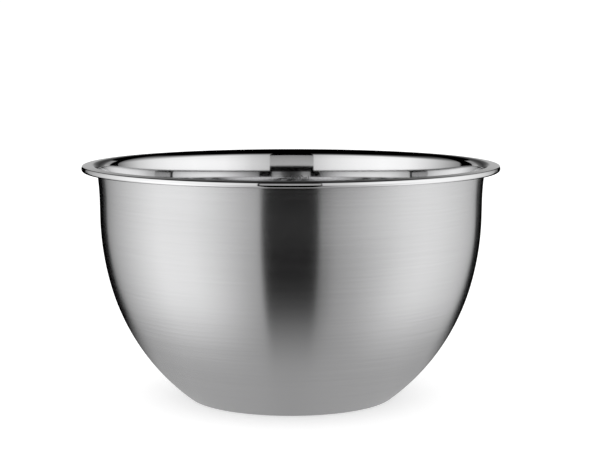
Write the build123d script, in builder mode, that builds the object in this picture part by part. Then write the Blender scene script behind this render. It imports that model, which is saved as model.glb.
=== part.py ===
from build123d import *
from math import cos, radians, sin
import os

# Deep mixing bowl, drawn from one disc of stainless sheet.
# The origin is the centre of the underside, +Z is the bowl's axis and points out of its mouth.
# Lengths are millimetres. Radii are those of the outside surface, which faces down and away
# from the axis. Steepness is that surface's angle above level, in degrees.

# ---- driving dimensions ----
rim_diameter = 240.0  # across the outermost edge of the rim
bowl_height = 135.6  # from the table to the crest of the rim
sheet_thickness = 0.7

base_radius = 56.8  # flat disc that the bowl stands on
base_corner_radius = 4.9
lower_wall_radius = 124.6
upper_wall_radius = 155.8
flare_radius = 140.0  # slight opening of the wall, just under the rim

corner_steepness = 37.5  # where the base corner runs into the lower wall
lower_wall_steepness = 74.2  # where the lower wall runs into the upper wall
draft_steepness = 89.0  # straight part of the wall
flare_steepness = 82.0  # where the flare runs into the bend under the rim

rim_bend_radius = 3.6  # bend from the wall into the flange, on the underside
flange_fall = 5.0  # the flange slopes down outwards by this angle
edge_bend_radius = 0.1  # tight fold where the flange turns down, on the underside
edge_steepness = 82.0  # the narrow face below that fold
edge_height = 0.9  # length of the face
curl_radius = 1.55  # the edge is rolled under below the face, radius over its outside
curl_turn = 240.0  # how far from level the sheet has turned where it ends


# ---- straight lengths that make up the height and the width ----
def bend_run(radius, start, end):
    """How far outwards a bend takes the sheet, as it turns from one steepness to another."""
    return radius * abs(sin(radians(end)) - sin(radians(start)))


def bend_rise(radius, start, end):
    """How far upwards the same bend takes the sheet."""
    return radius * abs(cos(radians(end)) - cos(radians(start)))


wall_bends = [
    (base_corner_radius, 0.0, corner_steepness),
    (lower_wall_radius, corner_steepness, lower_wall_steepness),
    (upper_wall_radius, lower_wall_steepness, draft_steepness),
    (flare_radius, draft_steepness, flare_steepness),
]
crest_rise = bend_rise(rim_bend_radius, flare_steepness, 0.0) + sheet_thickness
curved_rise = sum(bend_rise(*bend) for bend in wall_bends) + crest_rise
wall_length = (bowl_height - curved_rise) / sin(radians(draft_steepness))

curl_inner_radius = curl_radius - sheet_thickness
edge_bends = [
    (rim_bend_radius, flare_steepness, -flange_fall),
    (edge_bend_radius, flange_fall, edge_steepness),
    (curl_inner_radius, edge_steepness, 90.0),
]
curved_run = sum(bend_run(*bend) for bend in wall_bends + edge_bends) + sheet_thickness
wall_run = wall_length * cos(radians(draft_steepness))
edge_run = edge_height * cos(radians(edge_steepness))
flange_run = rim_diameter / 2 - base_radius - wall_run - edge_run - curved_run
flange_length = flange_run / cos(radians(flange_fall))

# ---- the sheet's stretches, from the middle of the base to the rolled edge ----
# A straight stretch has a length. A bend has a radius and a turn, which is positive where the
# sheet turns up and negative where it turns back outwards and down.
STRAIGHT = None
stretches = [
    (STRAIGHT, base_radius),
    (base_corner_radius, corner_steepness),
    (lower_wall_radius, lower_wall_steepness - corner_steepness),
    (upper_wall_radius, draft_steepness - lower_wall_steepness),
    (STRAIGHT, wall_length),
    (flare_radius, flare_steepness - draft_steepness),
    (rim_bend_radius, -flange_fall - flare_steepness),
    (STRAIGHT, flange_length),
    (edge_bend_radius, flange_fall - edge_steepness),
    (STRAIGHT, edge_height),
    (curl_inner_radius, edge_steepness - curl_turn),
]


def draw_surface(lift):
    """Draw the surface of the sheet that lies lift inside the outside one; return its two ends."""
    start = Vector(0, lift)
    end = start
    heading = Vector(1, 0)
    for radius, amount in stretches:
        if radius is STRAIGHT:
            line = Line(end, end + heading * amount)
        elif amount > 0:
            line = JernArc(end, heading, radius - lift, amount)
        else:
            line = JernArc(end, heading, radius + lift, amount)
        end = line @ 1
        heading = line % 1
    return start, end


# ---- bowl: one sheet of even thickness, spun round the axis ----
with BuildPart() as bowl:
    with BuildSketch(Plane.XZ) as section:
        with BuildLine() as outline:
            outside_start, outside_end = draw_surface(0.0)
            inside_start, inside_end = draw_surface(sheet_thickness)
            Line(outside_start, inside_start)
            Line(outside_end, inside_end)
        make_face()
    revolve(axis=Axis.Z)

bowl.part.label = "bowl"
os.makedirs("parts", exist_ok=True)
export_step(bowl.part, "parts/bowl.step")

box = bowl.part.bounding_box()
print(f"rim diameter {box.size.X:.2f}, height {box.size.Z:.2f}, lowest point {box.min.Z:.3f}")
print(f"straight wall {wall_length:.2f}, flange {flange_length:.2f}")
print(f"sheet volume {bowl.part.volume / 1000:.2f} cm3")
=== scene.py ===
from math import cos, hypot, pi, radians, sin

import bmesh
import bpy
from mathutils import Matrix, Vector


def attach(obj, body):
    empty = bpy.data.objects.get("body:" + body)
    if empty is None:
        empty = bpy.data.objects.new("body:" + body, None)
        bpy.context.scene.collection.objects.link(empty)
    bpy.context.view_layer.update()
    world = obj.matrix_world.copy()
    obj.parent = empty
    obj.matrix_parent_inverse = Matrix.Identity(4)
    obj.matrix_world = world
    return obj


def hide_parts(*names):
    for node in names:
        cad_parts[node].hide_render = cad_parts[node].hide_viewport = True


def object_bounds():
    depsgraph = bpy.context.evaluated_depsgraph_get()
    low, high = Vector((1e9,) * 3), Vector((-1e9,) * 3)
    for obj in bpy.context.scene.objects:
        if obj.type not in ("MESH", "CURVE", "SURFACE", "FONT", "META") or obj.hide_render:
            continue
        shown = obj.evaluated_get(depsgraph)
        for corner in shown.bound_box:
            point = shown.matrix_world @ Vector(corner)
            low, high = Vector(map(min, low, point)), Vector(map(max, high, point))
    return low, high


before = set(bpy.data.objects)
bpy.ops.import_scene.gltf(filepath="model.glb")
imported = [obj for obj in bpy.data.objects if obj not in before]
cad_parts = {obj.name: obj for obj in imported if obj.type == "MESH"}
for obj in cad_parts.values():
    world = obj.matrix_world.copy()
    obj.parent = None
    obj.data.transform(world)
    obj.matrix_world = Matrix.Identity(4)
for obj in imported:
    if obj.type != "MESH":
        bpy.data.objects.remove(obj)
cad_low, cad_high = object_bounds()

# ---- sizes of the bowl, in metres and degrees ----
# Radii are those of the outside surface. Steepness is that surface's angle above level.
RIM_RADIUS = cad_high.x
HEIGHT = cad_high.z
SHEET = 0.0007

BASE_RADIUS = 0.0568
BASE_CORNER_RADIUS = 0.0049
LOWER_WALL_RADIUS = 0.1246
UPPER_WALL_RADIUS = 0.1558
FLARE_RADIUS = 0.1400

CORNER_STEEPNESS = 37.5
LOWER_WALL_STEEPNESS = 74.2
DRAFT_STEEPNESS = 89.0
FLARE_STEEPNESS = 82.0

RIM_BEND_RADIUS = 0.0036
FLANGE_FALL = 5.0
EDGE_BEND_RADIUS = 0.0001
EDGE_STEEPNESS = 82.0
EDGE_HEIGHT = 0.0009
CURL_RADIUS = 0.00155
CURL_TURN = 240.0

SECTORS = 360  # faces round the bowl

# ---- measuring scale etched inside the back wall ----
MARK_STEP = 0.0005  # cubic metres between two marks, half a litre
MARK_COUNT = 7
MARK_DROP = 0.0026  # the marks lie this far under the true level
MARK_LENGTH = 0.0064
MARK_WIDTH = 0.0006
MARK_COLUMNS = 8  # faces along a mark
MARK_LEFT = -0.0088  # where the marks start, measured round the inside from the back
NUMERAL_GAP = 0.0020  # between a mark and its number
NUMERAL_SIZE = 0.0053
NUMERAL_NARROWING = 0.72
ETCH_LIFT = 0.00002  # from the polished steel to the middle of the etched skin
ETCH_SKIN = 0.00002  # the skin's own thickness


# ---- the sheet's section ----
def bend_run(radius, start, end):
    """How far outwards a bend takes the sheet, as it turns from one steepness to another."""
    return radius * abs(sin(radians(end)) - sin(radians(start)))


def bend_rise(radius, start, end):
    """How far upwards the same bend takes the sheet."""
    return radius * abs(cos(radians(end)) - cos(radians(start)))


def sheet_stretches():
    """The sheet from the middle of the base to its rolled edge, as rows of (name, radius, amount, rings).

    A straight stretch has no radius and its amount is a length. A bend's amount is its turn in degrees,
    negative where the sheet turns back outwards and down."""
    curl_inner = CURL_RADIUS - SHEET
    wall_bends = [
        (BASE_CORNER_RADIUS, 0.0, CORNER_STEEPNESS),
        (LOWER_WALL_RADIUS, CORNER_STEEPNESS, LOWER_WALL_STEEPNESS),
        (UPPER_WALL_RADIUS, LOWER_WALL_STEEPNESS, DRAFT_STEEPNESS),
        (FLARE_RADIUS, DRAFT_STEEPNESS, FLARE_STEEPNESS),
    ]
    edge_bends = [
        (RIM_BEND_RADIUS, FLARE_STEEPNESS, -FLANGE_FALL),
        (EDGE_BEND_RADIUS, FLANGE_FALL, EDGE_STEEPNESS),
        (curl_inner, EDGE_STEEPNESS, 90.0),
    ]
    rise = sum(bend_rise(*bend) for bend in wall_bends)
    rise += bend_rise(RIM_BEND_RADIUS, FLARE_STEEPNESS, 0.0) + SHEET
    wall = (HEIGHT - rise) / sin(radians(DRAFT_STEEPNESS))
    run = sum(bend_run(*bend) for bend in wall_bends + edge_bends) + SHEET
    run += wall * cos(radians(DRAFT_STEEPNESS)) + EDGE_HEIGHT * cos(radians(EDGE_STEEPNESS))
    flange = (RIM_RADIUS - BASE_RADIUS - run) / cos(radians(FLANGE_FALL))
    return [
        ("base", None, BASE_RADIUS, 6),
        ("corner", BASE_CORNER_RADIUS, CORNER_STEEPNESS, 10),
        ("lower_wall", LOWER_WALL_RADIUS, LOWER_WALL_STEEPNESS - CORNER_STEEPNESS, 30),
        ("upper_wall", UPPER_WALL_RADIUS, DRAFT_STEEPNESS - LOWER_WALL_STEEPNESS, 14),
        ("straight_wall", None, wall, 3),
        ("flare", FLARE_RADIUS, FLARE_STEEPNESS - DRAFT_STEEPNESS, 8),
        ("rim_bend", RIM_BEND_RADIUS, -FLANGE_FALL - FLARE_STEEPNESS, 18),
        ("flange", None, flange, 4),
        ("edge_bend", EDGE_BEND_RADIUS, FLANGE_FALL - EDGE_STEEPNESS, 8),
        ("edge_face", None, EDGE_HEIGHT, 2),
        ("curl", curl_inner, EDGE_STEEPNESS - CURL_TURN, 20),
    ]


def sheet_surface(lift):
    """Points (name, radius, height, length along the sheet) of the surface lift inside the outside one."""
    r, z, heading, along = 0.0, lift, 0.0, 0.0
    points = [("base", r, z, along)]
    for name, radius, amount, rings in sheet_stretches():
        for _ in range(rings):
            if radius is None:
                step = amount / rings
                r += step * cos(heading)
                z += step * sin(heading)
            else:
                turn = radians(amount) / rings
                bend = radius - lift if amount > 0 else radius + lift
                step = 2 * bend * abs(sin(turn / 2))
                r += step * cos(heading + turn / 2)
                z += step * sin(heading + turn / 2)
                heading += turn
            along += step
            points.append((name, r, z, along))
    return points


OUTSIDE = sheet_surface(0.0)
INSIDE = sheet_surface(SHEET)
RIM_STRETCHES = ("rim_bend", "flange", "edge_bend", "edge_face", "curl")
BRUSHED, POLISHED = 0, 1  # the bowl's material slots


# ---- the bowl's mesh ----
def new_object(name, mesh_data):
    made = bpy.data.objects.new(name, mesh_data)
    bpy.context.scene.collection.objects.link(made)
    return made


def spin_ring(mesh, along_layer, r, z, along):
    ring = []
    for i in range(SECTORS):
        a = 2 * pi * i / SECTORS
        corner = mesh.verts.new((r * sin(a), r * cos(a), z))
        corner[along_layer] = along
        ring.append(corner)
    return ring


def add_side(mesh, along_layer, surface, rim_only):
    """One side of the sheet, polished all over or on the rim only. Returns the ring at the rolled edge."""
    centre = mesh.verts.new((0, 0, surface[0][2]))
    rings = [spin_ring(mesh, along_layer, r, z, along) for _, r, z, along in surface[1:]]
    for i in range(SECTORS):
        j = (i + 1) % SECTORS
        outlines = [(centre, rings[0][i], rings[0][j])]
        outlines += [(low[i], high[i], high[j], low[j]) for low, high in zip(rings, rings[1:])]
        for (stretch, *_), outline in zip(surface[1:], outlines):
            polished = stretch in RIM_STRETCHES or not rim_only
            mesh.faces.new(outline).material_index = POLISHED if polished else BRUSHED
    return rings[-1]


def make_bowl():
    """One closed skin: up the outside, round the rolled edge and down the inside."""
    mesh = bmesh.new()
    along_layer = mesh.verts.layers.float.new("along")
    outer_edge = add_side(mesh, along_layer, OUTSIDE, rim_only=True)
    inner_edge = add_side(mesh, along_layer, INSIDE, rim_only=False)
    for i in range(SECTORS):
        j = (i + 1) % SECTORS
        face = mesh.faces.new((outer_edge[i], inner_edge[i], inner_edge[j], outer_edge[j]))
        face.material_index = POLISHED
        for ring in (outer_edge, inner_edge):
            mesh.edges.get((ring[i], ring[j])).smooth = False
    bmesh.ops.recalc_face_normals(mesh, faces=mesh.faces)
    for face in mesh.faces:
        face.smooth = True
    data = bpy.data.meshes.new("bowl_sheet")
    mesh.to_mesh(data)
    mesh.free()
    return new_object("bowl_sheet", data)


# ---- the scale's mesh ----
def inside_at(along, lift):
    """Radius and height of the point that lies at this length along the inside, raised by lift."""
    for (_, r0, z0, a0), (_, r1, z1, a1) in zip(INSIDE, INSIDE[1:]):
        if a0 <= along <= a1:
            t = (along - a0) / (a1 - a0)
            span = hypot(r1 - r0, z1 - z0)
            return (
                r0 + (r1 - r0) * t - lift * (z1 - z0) / span,
                z0 + (z1 - z0) * t + lift * (r1 - r0) / span,
            )
    raise ValueError("beyond the sheet's edge")


def wrap_inside(x, along, lift):
    """A point x to the right of the back of the bowl, at this length along the inside."""
    r, z = inside_at(along, lift)
    return Vector((r * sin(x / r), r * cos(x / r), z))


def fill_lengths():
    """Length along the inside that each half litre reaches."""
    lengths, volume, wanted = [], 0.0, MARK_STEP
    for (_, r0, z0, a0), (_, r1, z1, a1) in zip(INSIDE, INSIDE[1:]):
        slice_volume = pi * (r0 * r0 + r0 * r1 + r1 * r1) / 3 * (z1 - z0)
        while slice_volume > 0 and volume + slice_volume >= wanted and len(lengths) < MARK_COUNT:
            lengths.append(a0 + (a1 - a0) * (wanted - volume) / slice_volume)
            wanted += MARK_STEP
        volume += slice_volume
    return lengths


def mark_mesh():
    """A mark: the points (x, y, z) and the faces of a thin flat bar that lies along y = 0."""
    points, faces = [], []
    for i in range(MARK_COLUMNS + 1):
        x = MARK_LEFT + MARK_LENGTH * i / MARK_COLUMNS
        for y, z in ((-1, -1), (1, -1), (1, 1), (-1, 1)):
            points.append((x, y * MARK_WIDTH / 2, z * ETCH_SKIN / 2))
    for i in range(MARK_COLUMNS):
        for k in range(4):
            a, b = 4 * i + k, 4 * i + (k + 1) % 4
            faces.append((a, b, b + 4, a + 4))
    last = 4 * MARK_COLUMNS
    faces.append((0, 1, 2, 3))
    faces.append((last + 3, last + 2, last + 1, last))
    return points, faces


def numeral_mesh(text):
    """A number in the same form, to the right of the mark."""
    curve = bpy.data.curves.new("numeral", "FONT")
    curve.body = text
    curve.size = NUMERAL_SIZE
    curve.align_x = "LEFT"
    curve.align_y = "CENTER"
    curve.extrude = ETCH_SKIN / 2
    curve.resolution_u = 4
    holder = new_object("numeral", curve)
    bpy.context.view_layer.update()
    flat = bpy.data.meshes.new_from_object(holder.evaluated_get(bpy.context.evaluated_depsgraph_get()))
    left = MARK_LEFT + MARK_LENGTH + NUMERAL_GAP
    points = [(left + NUMERAL_NARROWING * v.co.x, v.co.y, v.co.z) for v in flat.vertices]
    faces = [tuple(p.vertices) for p in flat.polygons]
    bpy.data.objects.remove(holder)
    bpy.data.curves.remove(curve)
    bpy.data.meshes.remove(flat)
    return points, faces


def make_scale():
    """Marks and numbers for every half litre, wrapped on to the inside of the back wall."""
    mesh = bmesh.new()
    for number, level in enumerate(fill_lengths(), start=1):
        for points, faces in (mark_mesh(), numeral_mesh(f"{number * 500}ml")):
            corners = [
                mesh.verts.new(wrap_inside(x, level - MARK_DROP + y, ETCH_LIFT + z)) for x, y, z in points
            ]
            for face in faces:
                mesh.faces.new([corners[i] for i in face])
    bmesh.ops.remove_doubles(mesh, verts=mesh.verts, dist=1e-7)
    bmesh.ops.recalc_face_normals(mesh, faces=mesh.faces)
    data = bpy.data.meshes.new("volume_scale")
    mesh.to_mesh(data)
    mesh.free()
    return new_object("volume_scale", data)


# ---- materials ----
class Nodes:
    """Adds nodes to one new material and links them."""

    def __init__(self, name):
        self.material = bpy.data.materials.new(name)
        self.material.use_nodes = True
        self.tree = self.material.node_tree
        self.tree.nodes.clear()

    def add(self, kind, **settings):
        made = self.tree.nodes.new(kind)
        for key, value in settings.items():
            setattr(made, key, value)
        return made

    def link(self, source, target):
        self.tree.links.new(source, target)

    def shader(self, kind):
        """A shader that gives the material its surface."""
        made = self.add(kind)
        output = self.add("ShaderNodeOutputMaterial")
        self.link(made.outputs[0], output.inputs["Surface"])
        return made

    def attribute(self, name):
        return self.add("ShaderNodeAttribute", attribute_name=name).outputs["Fac"]

    def math(self, operation, a, b):
        made = self.add("ShaderNodeMath", operation=operation)
        for socket, value in zip(made.inputs, (a, b)):
            if isinstance(value, (int, float)):
                socket.default_value = value
            else:
                self.link(value, socket)
        return made.outputs[0]

    def tone(self, factor, dark, light):
        """A colour between two linear ones."""
        made = self.add("ShaderNodeMix", data_type="RGBA")
        made.inputs["A"].default_value = (*dark, 1.0)
        made.inputs["B"].default_value = (*light, 1.0)
        self.link(factor, made.inputs["Factor"])
        return made.outputs["Result"]

    def brush_lines(self, width, length, detail):
        """Noise drawn out round the bowl: lines of about this width and length, in metres."""
        parts = self.add("ShaderNodeSeparateXYZ")
        self.link(self.add("ShaderNodeTexCoord").outputs["Object"], parts.inputs[0])
        joined = self.add("ShaderNodeCombineXYZ")
        self.link(self.math("MULTIPLY", parts.outputs["X"], 1 / length), joined.inputs["X"])
        self.link(self.math("MULTIPLY", parts.outputs["Y"], 1 / length), joined.inputs["Y"])
        self.link(self.math("MULTIPLY", self.attribute("along"), 1 / width), joined.inputs["Z"])
        noise = self.add("ShaderNodeTexNoise", noise_dimensions="3D")
        noise.inputs["Scale"].default_value = 1.0
        noise.inputs["Detail"].default_value = detail
        noise.inputs["Roughness"].default_value = 0.6
        self.link(joined.outputs[0], noise.inputs["Vector"])
        return noise.outputs["Fac"]


def steel(name, dark, light, roughness, spread, grain, fine, broad, depth):
    """Stainless steel worked round the bowl's axis.

    Its lines are a mixture of fine and broad ones, each a (width, length) in metres. They change the colour
    from dark to light, the roughness by spread and the surface by depth in metres. grain is how strongly
    reflections are drawn out across the lines."""
    nodes = Nodes(name)
    shader = nodes.shader("ShaderNodeBsdfPrincipled")
    shader.inputs["Metallic"].default_value = 1.0
    shader.inputs["Anisotropic"].default_value = grain
    shader.inputs["Anisotropic Rotation"].default_value = 0.25
    around = nodes.add("ShaderNodeTangent", direction_type="RADIAL", axis="Z")
    nodes.link(around.outputs[0], shader.inputs["Tangent"])

    fine_lines = nodes.brush_lines(*fine, detail=2.0)
    broad_lines = nodes.brush_lines(*broad, detail=3.0)
    lines = nodes.math("MULTIPLY", nodes.math("ADD", fine_lines, broad_lines), 0.5)
    nodes.link(nodes.tone(lines, dark, light), shader.inputs["Base Color"])

    uneven = nodes.math("MULTIPLY", nodes.math("SUBTRACT", lines, 0.5), spread)
    nodes.link(nodes.math("ADD", uneven, roughness), shader.inputs["Roughness"])

    bump = nodes.add("ShaderNodeBump")
    bump.inputs["Strength"].default_value = 1.0
    bump.inputs["Distance"].default_value = depth
    nodes.link(lines, bump.inputs["Height"])
    nodes.link(bump.outputs[0], shader.inputs["Normal"])
    return nodes.material


def etched_steel():
    """Matt grey skin that the etching leaves, with a slight grain."""
    nodes = Nodes("etched_steel")
    shader = nodes.shader("ShaderNodeBsdfPrincipled")
    shader.inputs["Metallic"].default_value = 1.0
    noise = nodes.add("ShaderNodeTexNoise", noise_dimensions="3D")
    noise.inputs["Scale"].default_value = 6000.0
    noise.inputs["Detail"].default_value = 2.0
    nodes.link(nodes.add("ShaderNodeTexCoord").outputs["Object"], noise.inputs["Vector"])
    grain = noise.outputs["Fac"]
    tone = nodes.tone(grain, dark=(0.20, 0.20, 0.20), light=(0.32, 0.32, 0.32))
    nodes.link(tone, shader.inputs["Base Color"])
    nodes.link(nodes.math("ADD", nodes.math("MULTIPLY", grain, 0.15), 0.5), shader.inputs["Roughness"])
    return nodes.material


# ---- the object ----
bowl = make_bowl()
bowl.data.materials.append(steel(
    "brushed_steel",
    dark=(0.562, 0.562, 0.567),
    light=(0.685, 0.685, 0.69),
    roughness=0.240,
    spread=0.11,
    grain=1.0,
    fine=(0.00040, 0.050),
    broad=(0.0014, 0.090),
    depth=0.000006,
))
bowl.data.materials.append(steel(
    "polished_steel",
    dark=(0.77, 0.77, 0.775),
    light=(0.83, 0.83, 0.835),
    roughness=0.050,
    spread=0.03,
    grain=0.50,
    fine=(0.00020, 0.080),
    broad=(0.0009, 0.150),
    depth=0.0000008,
))
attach(bowl, "root")
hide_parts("bowl")

volume_scale = make_scale()
volume_scale.data.materials.append(etched_steel())
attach(volume_scale, "root")


# ---- studio ----
# A light tent stands round the bowl, open towards the camera and, in two gaps, behind, where a panel
# stands between the gaps. The bowl mirrors both. The table is glossy, so the tent goes on below it as
# its own mirror image, with a brightness of its own. Angles go round the bowl in degrees, from 0 on
# the camera's side to 180 behind. A glow is a list of stops (angle or height, strength).
TENT_RADIUS = 0.585
TENT_LOW, TENT_HIGH = -0.80, 0.80
LOWER_SHARE = [(0.05, 1.0), (0.15, 0.0)]  # by height, how the lower glow gives way to the upper one

# upper and lower go by angle, and fade by height.
TENT_LEFT = dict(
    upper=[(15.4, 0.72), (28, 0.93), (45, 1.09), (65, 1.19), (85, 1.12), (102, 0.86), (123, 0.50),
           (137, 0.28), (139, 0.0)],
    lower=[(15.4, 0.50), (24, 0.63), (30, 0.76), (42, 1.02), (56, 1.25), (77, 1.30), (89, 1.12),
           (107, 0.82), (123, 0.56), (132, 0.40), (133.5, 0.0)],
    fade=[(0.24, 1.0), (0.32, 0.80), (0.40, 0.48), (0.52, 0.20), (0.62, 0.09), (0.75, 0.0)],
)
TENT_RIGHT = dict(
    upper=[(15, 0.64), (27, 0.78), (34, 0.93), (47, 1.11), (70, 1.16), (90, 1.09), (104, 0.97),
           (119, 0.76), (133, 0.43), (143, 0.16)],
    lower=[(15, 0.20), (19, 0.27), (25, 0.44), (37, 0.58), (50, 0.77), (64, 1.02), (79, 1.15),
           (91, 1.10), (111, 0.90), (126, 0.70), (134, 0.55), (135.5, 0.0)],
    fade=[(0.22, 1.0), (0.34, 0.80), (0.42, 0.65), (0.54, 0.38), (0.65, 0.20), (0.80, 0.0)],
)

BACK_RADIUS = 0.65
BACK_ANGLE = 155
BACK_GLOW = [(0.10, 0.50), (0.20, 0.48), (0.25, 0.38), (0.30, 0.33), (0.41, 0.36), (0.43, 0.0)]  # by height
BACK_SHARE = [(155, 0.8), (160, 1.0), (165, 0.9), (168, 0.45), (172, 0.25), (180, 0.12)]  # by angle

CARD_DISTANCE = 1.3  # a card over the camera
CARD_HALF_WIDTH = 0.36
CARD_GLOW = [(0.272, 0.48), (0.48, 0.29)]  # by height

# Close to the bowl a glowing disc, seen only in reflections, covers the mirrored tent: painted light that
# stands in for the lit table, dimmer towards the back.
PAINTED_TABLE_GLOW = [(0, 0.48), (60, 0.52), (95, 0.45), (130, 0.28), (180, 0.20)]  # by angle
TABLE_COVER = [(0.10, 1.0), (0.20, 0.0)]  # by radius
TABLE_DROP = 0.0002  # under the floor

ROOM_RADIUS = 12.0
ROOM_GLOW = 1.05
FLOOR_SIDES = 96
FLOOR_TONE = 0.80
FLOOR_GLOW = 0.47
SKY_GLOW = 1.05


def between(stops, place):
    """The value at a place, from stops (place, value) in rising order."""
    if place <= stops[0][0]:
        return stops[0][1]
    for (p0, v0), (p1, v1) in zip(stops, stops[1:]):
        if place <= p1:
            return v0 + (v1 - v0) * (place - p0) / (p1 - p0)
    return stops[-1][1]


def round_point(angle, radius, z):
    return (radius * sin(radians(angle)), -radius * cos(radians(angle)), z)


def glow_cloth():
    """Glows as strongly as the mesh's glow attribute says, and is seen through where cover is low."""
    nodes = Nodes("glow_cloth")
    mix = nodes.shader("ShaderNodeMixShader")
    light = nodes.add("ShaderNodeEmission")
    nodes.link(nodes.attribute("glow"), light.inputs["Strength"])
    nodes.link(nodes.attribute("cover"), mix.inputs[0])
    nodes.link(nodes.add("ShaderNodeBsdfTransparent").outputs[0], mix.inputs[1])
    nodes.link(light.outputs[0], mix.inputs[2])
    return nodes.material


cloth = glow_cloth()


def show_to(piece, camera=False, glossy=False):
    """Which rays meet this piece of the studio."""
    piece.visible_camera = camera
    piece.visible_glossy = glossy
    piece.visible_diffuse = False
    piece.visible_transmission = False
    piece.visible_shadow = False


def glow_sheet(name, across, up, point, glow, cover=lambda a, b: 1.0):
    """A glowing sheet that only reflections see.

    across and up are (first, last, faces) of its two coordinates. point, glow and cover take both."""
    points, glows, covers, faces = [], [], [], []
    for i in range(across[2] + 1):
        a = across[0] + (across[1] - across[0]) * i / across[2]
        for k in range(up[2] + 1):
            b = up[0] + (up[1] - up[0]) * k / up[2]
            points.append(point(a, b))
            glows.append(glow(a, b))
            covers.append(cover(a, b))
            if i < across[2] and k < up[2]:
                corner = i * (up[2] + 1) + k
                faces.append((corner, corner + up[2] + 1, corner + up[2] + 2, corner + 1))
    data = bpy.data.meshes.new(name)
    data.from_pydata(points, [], faces)
    data.materials.append(cloth)
    data.attributes.new("glow", "FLOAT", "POINT").data.foreach_set("value", glows)
    data.attributes.new("cover", "FLOAT", "POINT").data.foreach_set("value", covers)
    show_to(new_object(name, data), glossy=True)


def tent_side(name, sign, upper, lower, fade):
    """One half of the tent. sign is -1 on the left and 1 on the right."""
    def glow(angle, z):
        share = between(LOWER_SHARE, z)
        return (between(lower, angle) * share + between(upper, angle) * (1 - share)) * between(fade, z)

    glow_sheet(
        name, (upper[0][0], upper[-1][0], 128), (TENT_LOW, TENT_HIGH, 80),
        point=lambda angle, z: round_point(sign * angle, TENT_RADIUS, z),
        glow=glow,
    )


tent_side("tent_left", -1, **TENT_LEFT)
tent_side("tent_right", 1, **TENT_RIGHT)
glow_sheet(
    "back_panel", (BACK_ANGLE, 360 - BACK_ANGLE, 50), (BACK_GLOW[0][0], BACK_GLOW[-1][0], 33),
    point=lambda angle, z: round_point(angle, BACK_RADIUS, z),
    glow=lambda angle, z: between(BACK_GLOW, z) * between(BACK_SHARE, 180 - abs(180 - angle)),
)
glow_sheet(
    "camera_card", (-CARD_HALF_WIDTH, CARD_HALF_WIDTH, 1), (CARD_GLOW[0][0], CARD_GLOW[-1][0], 8),
    point=lambda x, z: (x, -CARD_DISTANCE, z),
    glow=lambda x, z: between(CARD_GLOW, z),
)
# Painted light: a glowing disc in place of the lit table as the steel mirrors it, dimmer behind the bowl.
glow_sheet(
    "painted_table_light", (-180, 180, 120), (0.0, TABLE_COVER[-1][0], 20),
    point=lambda angle, radius: round_point(angle, radius, -TABLE_DROP),
    glow=lambda angle, radius: between(PAINTED_TABLE_GLOW, abs(angle)),
    cover=lambda angle, radius: between(TABLE_COVER, radius),
)


def floor_paper():
    nodes = Nodes("floor_paper")
    paper = nodes.shader("ShaderNodeBsdfPrincipled")
    paper.inputs["Base Color"].default_value = (FLOOR_TONE, FLOOR_TONE, FLOOR_TONE, 1.0)
    paper.inputs["Roughness"].default_value = 1.0
    paper.inputs["Specular IOR Level"].default_value = 0.0
    paper.inputs["Emission Color"].default_value = (1.0, 1.0, 1.0, 1.0)
    paper.inputs["Emission Strength"].default_value = FLOOR_GLOW
    return nodes.material


def room_white():
    nodes = Nodes("room_white")
    nodes.shader("ShaderNodeEmission").inputs["Strength"].default_value = ROOM_GLOW
    return nodes.material


floor_data = bpy.data.meshes.new("floor")
floor_edge = [round_point(360 * i / FLOOR_SIDES, ROOM_RADIUS, 0.0) for i in range(FLOOR_SIDES)]
floor_data.from_pydata(floor_edge, [], [tuple(range(FLOOR_SIDES))])
floor_data.materials.append(floor_paper())
show_to(new_object("floor", floor_data), camera=True)

room_data = bpy.data.meshes.new("room")
room_mesh = bmesh.new()
bmesh.ops.create_icosphere(room_mesh, subdivisions=4, radius=ROOM_RADIUS)
room_mesh.to_mesh(room_data)
room_mesh.free()
room_data.materials.append(room_white())
show_to(new_object("room", room_data), camera=True)

# Soft light from all sides for the floor alone: the steel doesn't mirror the sky.
sky = bpy.data.worlds.new("soft_sky")
sky.use_nodes = True
sky.node_tree.nodes["Background"].inputs["Color"].default_value = (1.0, 1.0, 1.0, 1.0)
sky.node_tree.nodes["Background"].inputs["Strength"].default_value = SKY_GLOW
sky.cycles_visibility.camera = False
sky.cycles_visibility.glossy = False
bpy.context.scene.world = sky
bpy.context.scene.view_settings.view_transform = "Standard"

# ---- camera ----
CAMERA_LENS = 105.87  # millimetres, as is the sensor
CAMERA_SENSOR = 36.0
CAMERA_DISTANCE = 8.454 * RIM_RADIUS
CAMERA_HEIGHT = 1.7993 * RIM_RADIUS
CAMERA_RIGHT = 0.0052
CAMERA_PITCH = radians(6.535)  # downwards
camera = bpy.data.objects.new("camera", bpy.data.cameras.new("camera"))
camera.data.lens = CAMERA_LENS
camera.data.sensor_width = CAMERA_SENSOR
camera.location = (CAMERA_RIGHT, -CAMERA_DISTANCE, CAMERA_HEIGHT)
camera.rotation_euler = (pi / 2 - CAMERA_PITCH, 0.0, 0.0)
bpy.context.scene.collection.objects.link(camera)
bpy.context.scene.camera = camera
